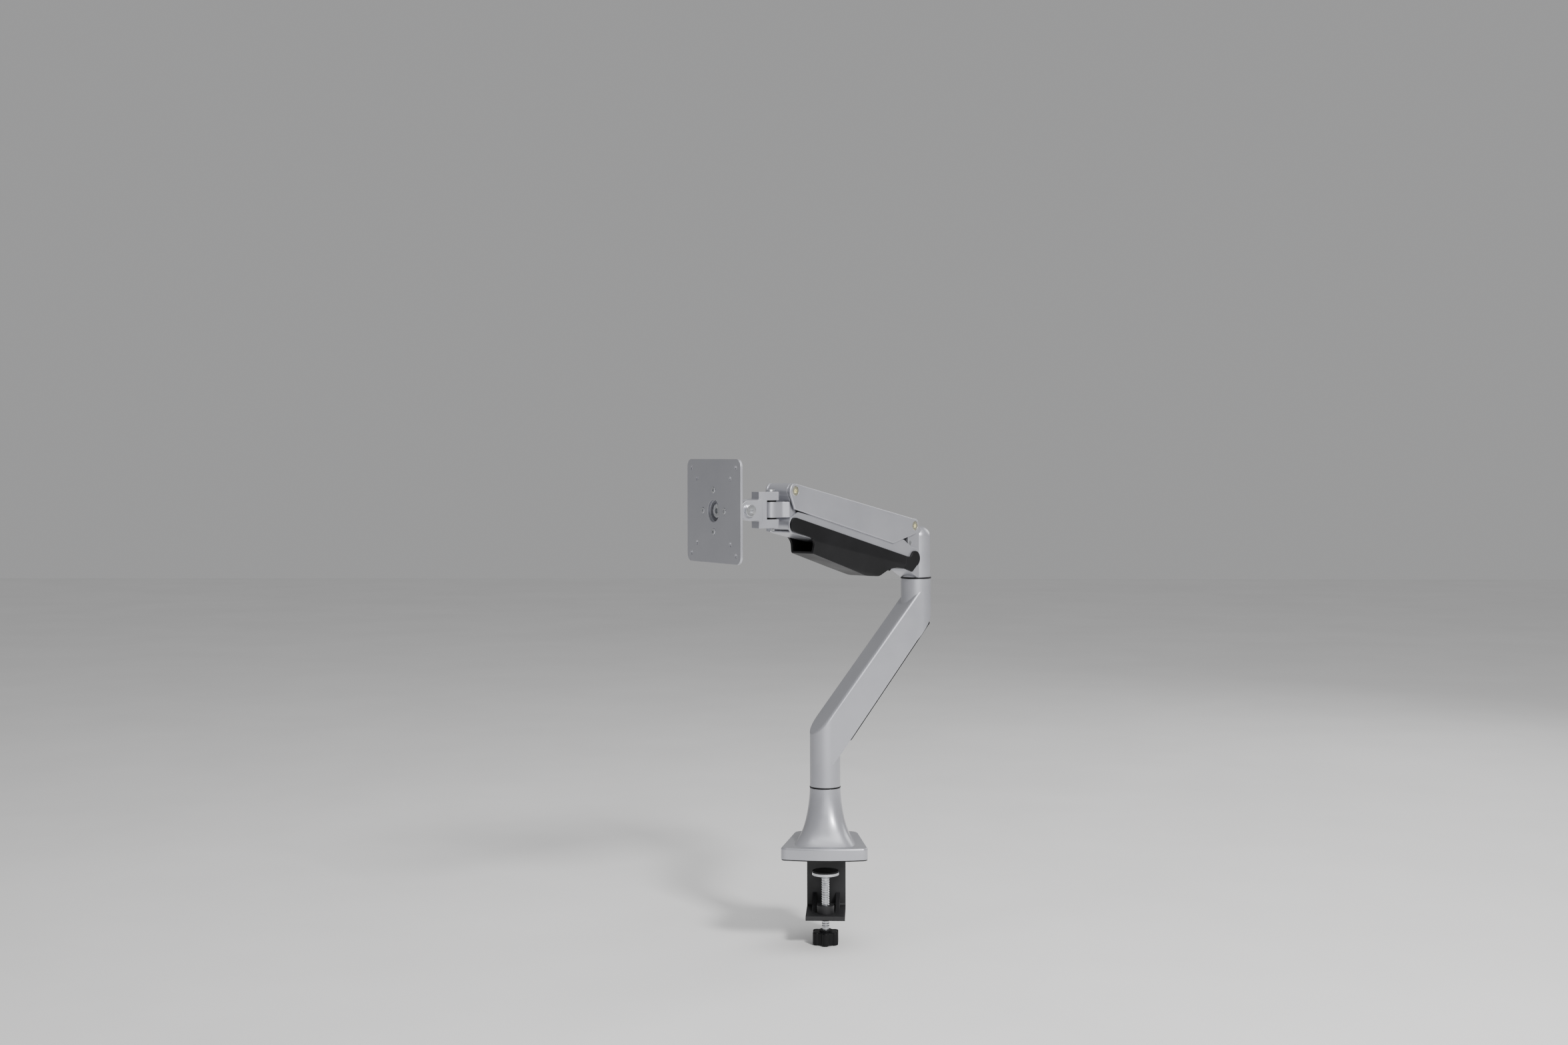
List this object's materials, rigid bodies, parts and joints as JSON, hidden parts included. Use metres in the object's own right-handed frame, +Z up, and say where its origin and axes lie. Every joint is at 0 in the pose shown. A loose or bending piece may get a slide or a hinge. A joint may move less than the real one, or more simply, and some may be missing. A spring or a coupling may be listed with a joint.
{
  "type": "monitor arm",
  "caption": "Desk-clamp monitor arm: flared base, swivelling lower arm, spring-balanced parallel-link upper arm with open cable cover, tilting and turning VESA head",
  "frame": {"origin": "on the desk top, under the axis of the base column", "axes": "+Z up from the desk; -Y towards the user; +Y towards the rear edge of the desk; +X to the user's right"},
  "size_m": [0.2943, 0.3494, 0.6186],
  "materials": {
    "silver_paint": "satin metallic silver with a slight blue cast",
    "black_paint": "fine-textured black powder coat",
    "black_plastic": "moulded black plastic, fine matte grain",
    "rubber": "matte black rubber",
    "grey_nylon": "smooth grey bearing nylon",
    "yellow_zinc": "yellow zinc-plated steel",
    "steel": "bright zinc-plated steel"
  },
  "bodies": {
    "base": {"base_housing": "silver_paint", "base_pad": "rubber", "bracket_bolts": "steel", "clamp_bracket": "black_paint", "base_spindle": "steel", "base_swivel_ring": "black_plastic"},
    "clamp_foot": {"clamp_disc": "steel", "clamp_disc_pad": "rubber"},
    "clamp_handle": {"clamp_screw": "steel", "clamp_knob": "black_plastic"},
    "lower_arm_body": {"lower_arm": "silver_paint", "lower_cable_cover": "black_plastic", "base_bushing": "grey_nylon", "base_lock_screw": "steel", "elbow_grub_screw": "steel", "elbow_spindle": "steel", "elbow_ring": "black_plastic"},
    "bracket_body": {"rear_bracket": "silver_paint", "elbow_bushing": "grey_nylon", "elbow_lock_screw": "steel", "bracket_bushings": "grey_nylon", "anchor_pin": "steel"},
    "top_link_body": {"top_link": "silver_paint", "top_rear_bolt": "yellow_zinc", "top_front_bolt": "yellow_zinc", "top_bolt_caps": "yellow_zinc", "spring_front_pin": "steel", "gas_cylinder": "black_paint", "gas_gland": "black_paint"},
    "bottom_link_body": {"bottom_link": "silver_paint", "bottom_rear_pin": "steel", "bottom_front_pin": "steel", "cable_cover": "black_plastic", "end_cap_left": "black_plastic", "end_cap_right": "black_plastic"},
    "spring_rod": {"gas_rod": "steel", "rod_eye": "steel"},
    "knuckle_body": {"front_knuckle": "silver_paint", "knuckle_bushings": "grey_nylon", "swivel_bushing": "grey_nylon"},
    "head_swivel": {"swivel_clevis": "silver_paint", "swivel_washers": "black_plastic", "swivel_bolt": "steel", "swivel_nut": "steel", "tilt_bolt": "steel", "tilt_nut": "steel", "tilt_washers": "black_plastic"},
    "head_tilt": {"tilt_block": "silver_paint", "hub_washer": "black_plastic"},
    "head_plate": {"vesa_hub": "silver_paint", "hub_screws": "steel", "hub_bolt": "steel", "vesa_plate": "silver_paint"}
  },
  "joints": [
    {"name": "base_swivel", "type": "hinge", "parent": "base", "child": "lower_arm_body", "pos_m": [0, 0, 0.0845], "axis": [0, 0, 1], "range_deg": [-180, 180]},
    {"name": "elbow_swivel", "type": "hinge", "parent": "lower_arm_body", "child": "bracket_body", "pos_m": [0.11684, 0.05699, 0.3465], "axis": [0, 0, 1], "range_deg": [-180, 180]},
    {"name": "arm_lift", "type": "hinge", "parent": "bracket_body", "child": "bottom_link_body", "pos_m": [0.10097, 0.03577, 0.3748], "axis": [-0.8007, 0.599, 0], "range_deg": [-42.4, 25.5]},
    {"name": "top_link_swing", "type": "hinge", "parent": "bracket_body", "child": "top_link_body", "pos_m": [0.09977, 0.03417, 0.4138], "axis": [-0.8007, 0.599, 0], "range_deg": [-42.4, 25.5]},
    {"name": "knuckle_level", "type": "hinge", "parent": "bottom_link_body", "child": "knuckle_body", "pos_m": [-0.04407, -0.15811, 0.42362], "axis": [-0.8007, 0.599, 0], "range_deg": [-25.5, 42.4]},
    {"name": "spring_stroke", "type": "slide", "parent": "top_link_body", "child": "spring_rod", "axis": [0.5777, 0.7723, -0.2643], "range_m": [-0.0157, 0.0095]},
    {"name": "monitor_swivel", "type": "hinge", "parent": "knuckle_body", "child": "head_swivel", "pos_m": [-0.05935, -0.17853, 0.44062], "axis": [0, 0, 1], "range_deg": [-72, 107]},
    {"name": "monitor_tilt", "type": "hinge", "parent": "head_swivel", "child": "head_tilt", "pos_m": [-0.09032, -0.20054, 0.44062], "axis": [-0.5793, 0.8151, 0], "range_deg": [-35, 50]},
    {"name": "plate_rotation", "type": "hinge", "parent": "head_tilt", "child": "head_plate", "pos_m": [-0.10825, -0.21329, 0.44062], "axis": [-0.8151, -0.5793, 0], "range_deg": [-180, 180]},
    {"name": "clamp_travel", "type": "slide", "parent": "base", "child": "clamp_foot", "axis": [0, 0, 1], "range_m": [-0.034, 0.015]},
    {"name": "clamp_turn", "type": "hinge", "parent": "clamp_foot", "child": "clamp_handle", "pos_m": [0, 0.008, -0.1], "axis": [0, 0, 1], "range_deg": [-4080, 1800]}
  ],
  "couplings": [
    {"joint": "top_link_swing", "follows": "arm_lift", "ratio": 1},
    {"joint": "knuckle_level", "follows": "arm_lift", "ratio": -1},
    {"joint": "spring_stroke", "follows": "arm_lift", "m_per_rad": 0.021085},
    {"joint": "clamp_turn", "follows": "clamp_travel", "rad_per_m": 2094.4}
  ]
}
